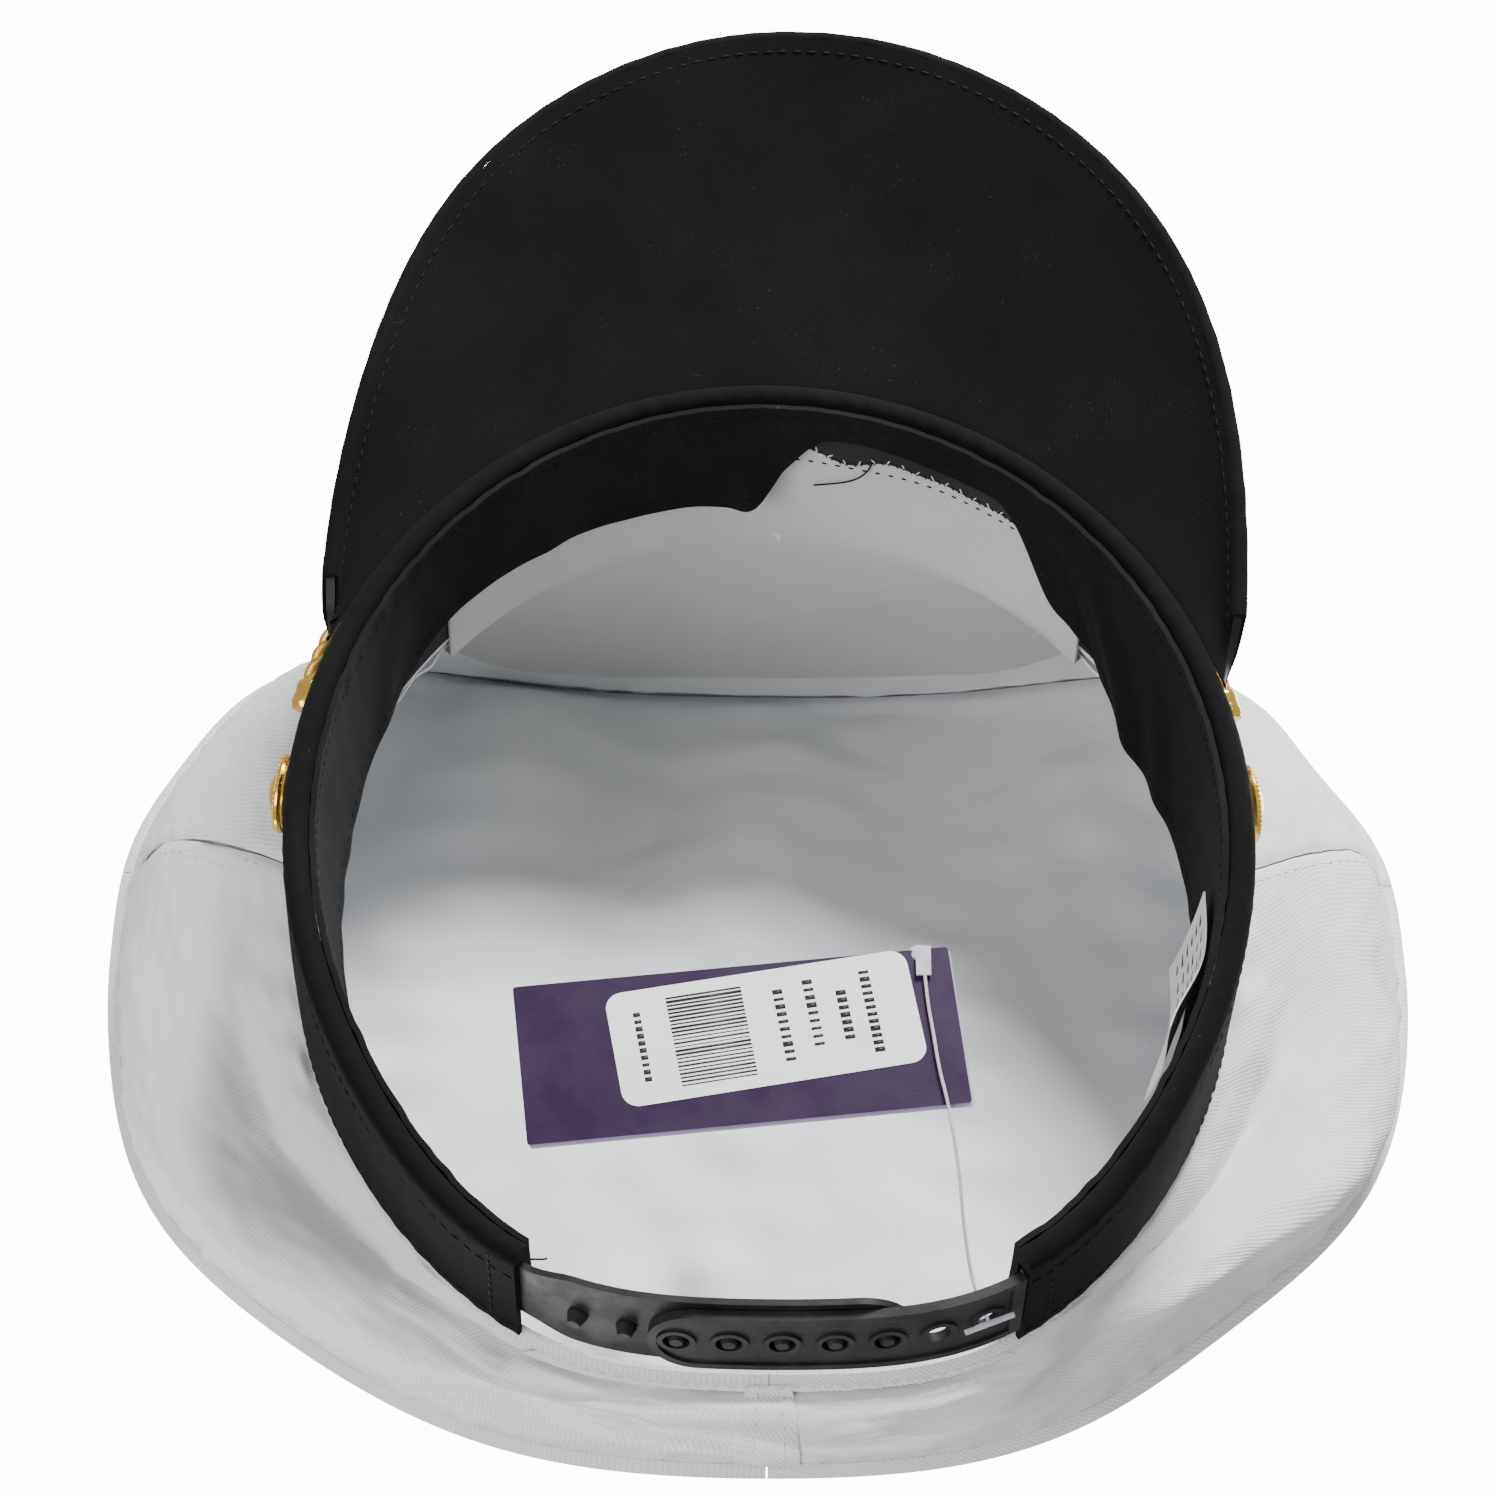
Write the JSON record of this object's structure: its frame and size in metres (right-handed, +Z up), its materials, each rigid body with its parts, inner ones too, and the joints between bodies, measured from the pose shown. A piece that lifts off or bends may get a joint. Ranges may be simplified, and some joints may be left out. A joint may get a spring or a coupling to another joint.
{
  "type": "yacht cap",
  "caption": "Soft peaked cap with a white crown, black cloth band and stiff visor, gilt chin cord and side buttons, anchor badge, rear snap strap and a swing tag.",
  "frame": {"origin": "middle of the cap's footprint on the surface it stands on, crown up: it rests on the visor's tip and the rear of the band", "axes": "+Z up through the crown, -Y out over the visor, +X to the wearer's left; the band's own axis leans 6.9 degrees back from +Z"},
  "size_m": [0.2594, 0.2836, 0.1403],
  "materials": {
    "crown_cloth": "white cotton twill",
    "lining_cloth": "smooth white lining",
    "stiffener_sheet": "pressed felt sheet, warm light grey",
    "black_cloth": "black plain weave",
    "sweat_cloth": "black cotton sweatband",
    "grey_tape": "dark grey overcast tape",
    "board": "stiff board",
    "snap_plastic": "black moulded plastic, satin",
    "gilt": "polished gilt",
    "gilt_cord": "twisted metallic yarn",
    "steel": "plain spring steel",
    "felt": "black felt",
    "label_cloth": "woven white label",
    "tag_card": "purple printed card, satin",
    "sticker_paper": "white label paper",
    "clear_nylon": "clear nylon"
  },
  "bodies": {
    "cap": {"hat_band": "black_cloth", "band_stiffener": "grey_tape", "sweatband": "sweat_cloth", "seam_tape": "grey_tape", "front_panel": "crown_cloth", "left_quarter": "crown_cloth", "right_quarter": "crown_cloth", "back_seam": "crown_cloth", "rear_hem": "crown_cloth", "side_lining": "lining_cloth", "crown_top": "crown_cloth", "crown_lining": "lining_cloth", "front_stiffener": "stiffener_sheet", "visor_board": "board", "visor_top_cover": "black_cloth", "visor_under_cover": "black_cloth", "visor_edge": "black_cloth", "hole_strap_anchor": "snap_plastic", "peg_strap": "snap_plastic", "badge_patch": "felt", "badge_anchor": "gilt", "badge_rope": "gilt_cord", "care_label": "label_cloth"},
    "left_button": {"left_button_shell": "gilt", "left_button_back": "gilt", "left_button_washer": "steel"},
    "right_button": {"right_button_shell": "gilt", "right_button_back": "gilt", "right_button_washer": "steel"},
    "chin_cord": {"chin_cord": "gilt_cord"},
    "strap": {"hole_strap": "snap_plastic", "tag_tbar": "clear_nylon"},
    "tag_line": {"tag_filament": "clear_nylon", "tag_paddle": "clear_nylon"},
    "tag": {"swing_tag": "tag_card", "tag_back_leaf": "tag_card", "tag_sticker": "sticker_paper"}
  },
  "joints": [
    {"name": "left_button_turn", "type": "hinge", "parent": "cap", "child": "left_button", "pos_m": [0.08721, 0.0142, 0.03293], "axis": [0.9926, -0.1204, 0.0146], "continuous": true},
    {"name": "right_button_turn", "type": "hinge", "parent": "cap", "child": "right_button", "pos_m": [-0.08703, 0.0142, 0.03293], "axis": [-0.9926, -0.1204, 0.0146], "continuous": true},
    {"name": "chin_cord_lift", "type": "hinge", "parent": "cap", "child": "chin_cord", "pos_m": [0.00009, 0.0142, 0.03293], "axis": [-1, 0, 0], "range_deg": [0, 12]},
    {"name": "strap_open", "type": "hinge", "parent": "cap", "child": "strap", "pos_m": [0.04269, 0.12351, 0.01124], "axis": [0, -0.1201, -0.9928], "range_deg": [0, 35]},
    {"name": "tag_line_turn", "type": "hinge", "parent": "strap", "child": "tag_line", "pos_m": [0.03682, 0.1271, 0.01081], "axis": [0, -0.1201, -0.9928], "range_deg": [-35, 0]},
    {"name": "tag_turn", "type": "hinge", "parent": "tag_line", "child": "tag", "pos_m": [0.0259, 0.0626, 0.001], "axis": [0, 0, 1], "range_deg": [-5, 9]}
  ],
  "couplings": [
    {"joint": "tag_line_turn", "follows": "strap_open", "ratio": -1}
  ]
}
